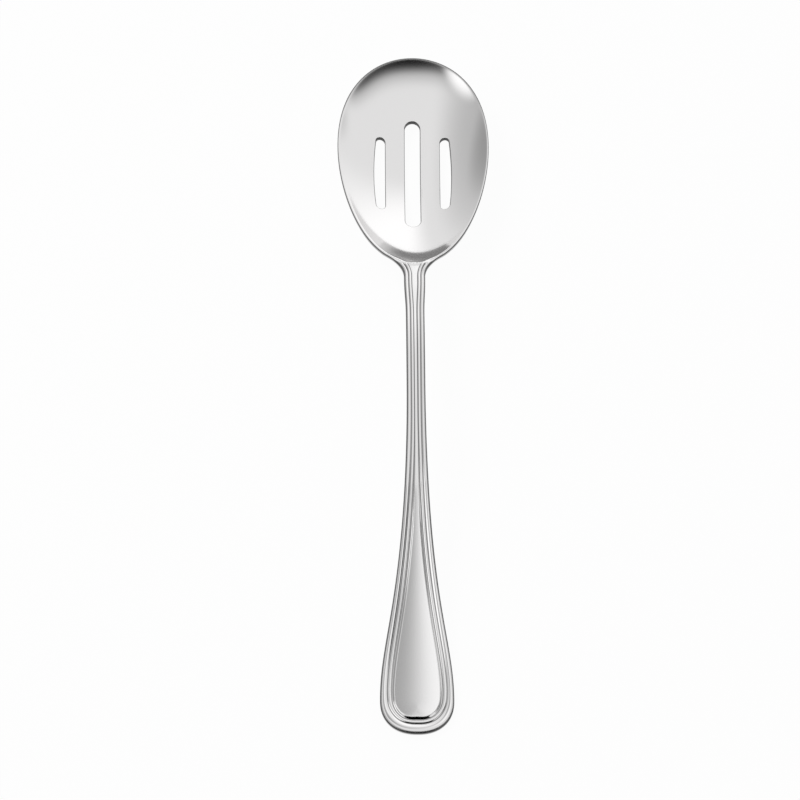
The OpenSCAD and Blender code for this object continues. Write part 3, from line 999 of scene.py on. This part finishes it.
def add_sheet(name, x_span, y_span, height, material):
    """A flat, level sheet that belongs to the stage."""
    mesh = bpy.data.meshes.new(name)
    (left, right), (front, back) = x_span, y_span
    corners = [(left, front, height), (right, front, height),
               (right, back, height), (left, back, height)]
    mesh.from_pydata(corners, [], [(0, 1, 2, 3)])
    mesh.materials.append(material)
    sheet = bpy.data.objects.new(name, mesh)
    bpy.context.scene.collection.objects.link(sheet)
    return sheet


def add_card(card, finish):
    """A glowing card above the spoon, which only the steel mirrors."""
    material = card_material(card.name, finish, *card.greys, card.middle, card.run)
    sheet = add_sheet(card.name, card.x_span, card.y_span, CARD_H, material)
    sheet.visible_camera = False
    sheet.visible_diffuse = False
    sheet.visible_transmission = False
    sheet.visible_shadow = False


def floor_material(studio):
    """A pale floor. The camera sees it white, with the spoon's shadow kept faint on it."""
    material = bpy.data.materials.new("pale_floor")
    tree = cleared_tree(material)
    lit = add_node(tree, "ShaderNodeBsdfDiffuse", {"Color": (*studio.floor_colour, 1)})
    glow = add_node(tree, "ShaderNodeEmission")
    path = add_node(tree, "ShaderNodeLightPath").outputs
    seen = Term(path["Is Camera Ray"], tree) + Term(path["Is Glossy Ray"], tree)
    seen = (seen + Term(path["Is Transmission Ray"], tree)).at_most(1.0) * studio.floor_glow
    mixed = add_node(tree, "ShaderNodeMixShader",
                     {"Fac": seen, 1: lit.outputs[0], 2: glow.outputs[0]})
    add_node(tree, "ShaderNodeOutputMaterial", {"Surface": mixed.outputs[0]})
    return material


def add_floor(studio):
    half = studio.floor_size / 2
    add_sheet("floor", (-half, half), (-half, half), LOW[2] - FLOOR_GAP, floor_material(studio))


def add_camera(studio):
    """The camera looks down on the spoon, leaning a little towards the handle."""
    straight = Vector((0, -math.sin(studio.lean), math.cos(studio.lean)))
    side = studio.side_lean
    away = straight * math.cos(side) + Vector((math.sin(side), 0, 0))
    right = Vector((math.cos(side), 0, 0)) - straight * math.sin(side)
    turn = Matrix.Rotation(studio.roll, 3, away)
    right, up = turn @ right, turn @ away.cross(right)
    place = Vector(studio.aim) + away * studio.distance
    data = bpy.data.cameras.new("camera")
    data.sensor_width = SENSOR_W
    data.lens = studio.lens
    data.clip_end = SIGHT
    camera = bpy.data.objects.new("camera", data)
    axes = Matrix((right, up, away)).transposed()
    camera.matrix_world = Matrix.Translation(place) @ axes.to_4x4()
    bpy.context.scene.collection.objects.link(camera)
    bpy.context.scene.camera = camera


def add_lamp(studio):
    """A soft square lamp that lights the floor and isn't mirrored in the steel."""
    data = bpy.data.lights.new("key", "AREA")
    data.shape = "SQUARE"
    data.size = studio.lamp_size
    data.energy = studio.lamp_power
    lamp = bpy.data.objects.new("key", data)
    place = Vector(studio.lamp_place)
    turn = place.to_track_quat("Z", "Y").to_matrix()
    lamp.matrix_world = Matrix.Translation(place) @ turn.to_4x4()
    lamp.visible_glossy = False
    bpy.context.scene.collection.objects.link(lamp)


# Operators

class SPOON_OT_spoon(bpy.types.Operator):
    """Make the spoon: draw the blank, strike it, pierce it and polish it."""

    bl_idname = "spoon.make_spoon"
    bl_label = "Spoon"

    def execute(self, context):
        form = form_of(context.scene.spoon_sizes)
        finish = context.scene.spoon_finish
        group = fine_polish_group()
        polish = steel_material("mirror_polished_steel", group, finish, roughness=finish.polish,
                                spread=0.02, line_share=0.3, stretch=12.0)
        satin = steel_material("satin_polished_steel", group, finish, roughness=finish.satin,
                               spread=0.04, line_share=1.0, stretch=60.0)
        plan = Plan(form)
        plan.rings()
        plan.slots()
        plan.fill_floor()
        spoon = struck("struck_spoon", plan, form, (polish, satin))
        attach(spoon, "root")
        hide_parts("spoon")
        return {"FINISHED"}


class SPOON_OT_studio(bpy.types.Operator):
    """Make the floor, the light and the camera."""

    bl_idname = "spoon.make_studio"
    bl_label = "Studio"

    def execute(self, context):
        scene = context.scene
        studio = scene.spoon_studio
        add_camera(studio)
        add_floor(studio)
        scene.world = studio_world(scene.spoon_finish)
        for card in CARDS:
            add_card(card, scene.spoon_finish)
        add_lamp(studio)
        scene.view_settings.view_transform = "Standard"
        return {"FINISHED"}


class SPOON_PT_panel(bpy.types.Panel):
    """Lists the steps and the sizes."""

    bl_label = "Slotted Serving Spoon"
    bl_idname = "SPOON_PT_panel"
    bl_space_type = "VIEW_3D"
    bl_region_type = "UI"
    bl_category = "Spoon"

    def draw(self, context):
        layout = self.layout
        for operator in (SPOON_OT_studio, SPOON_OT_spoon):
            layout.operator(operator.bl_idname)
        scene = context.scene
        for group in (scene.spoon_sizes, scene.spoon_finish, scene.spoon_studio):
            column = layout.box().column(align=True)
            for name in type(group).__annotations__:
                column.prop(group, name)


CLASSES = (SpoonSizes, SteelFinish, StudioSettings, SPOON_OT_spoon, SPOON_OT_studio, SPOON_PT_panel)


def register():
    for cls in CLASSES:
        bpy.utils.register_class(cls)
    bpy.types.Scene.spoon_sizes = PointerProperty(type=SpoonSizes)
    bpy.types.Scene.spoon_finish = PointerProperty(type=SteelFinish)
    bpy.types.Scene.spoon_studio = PointerProperty(type=StudioSettings)


def unregister():
    for name in ("spoon_sizes", "spoon_finish", "spoon_studio"):
        delattr(bpy.types.Scene, name)
    for cls in reversed(CLASSES):
        bpy.utils.unregister_class(cls)


def main():
    register()
    bpy.ops.spoon.make_studio()
    bpy.ops.spoon.make_spoon()


if __name__ == "__main__":
    main()
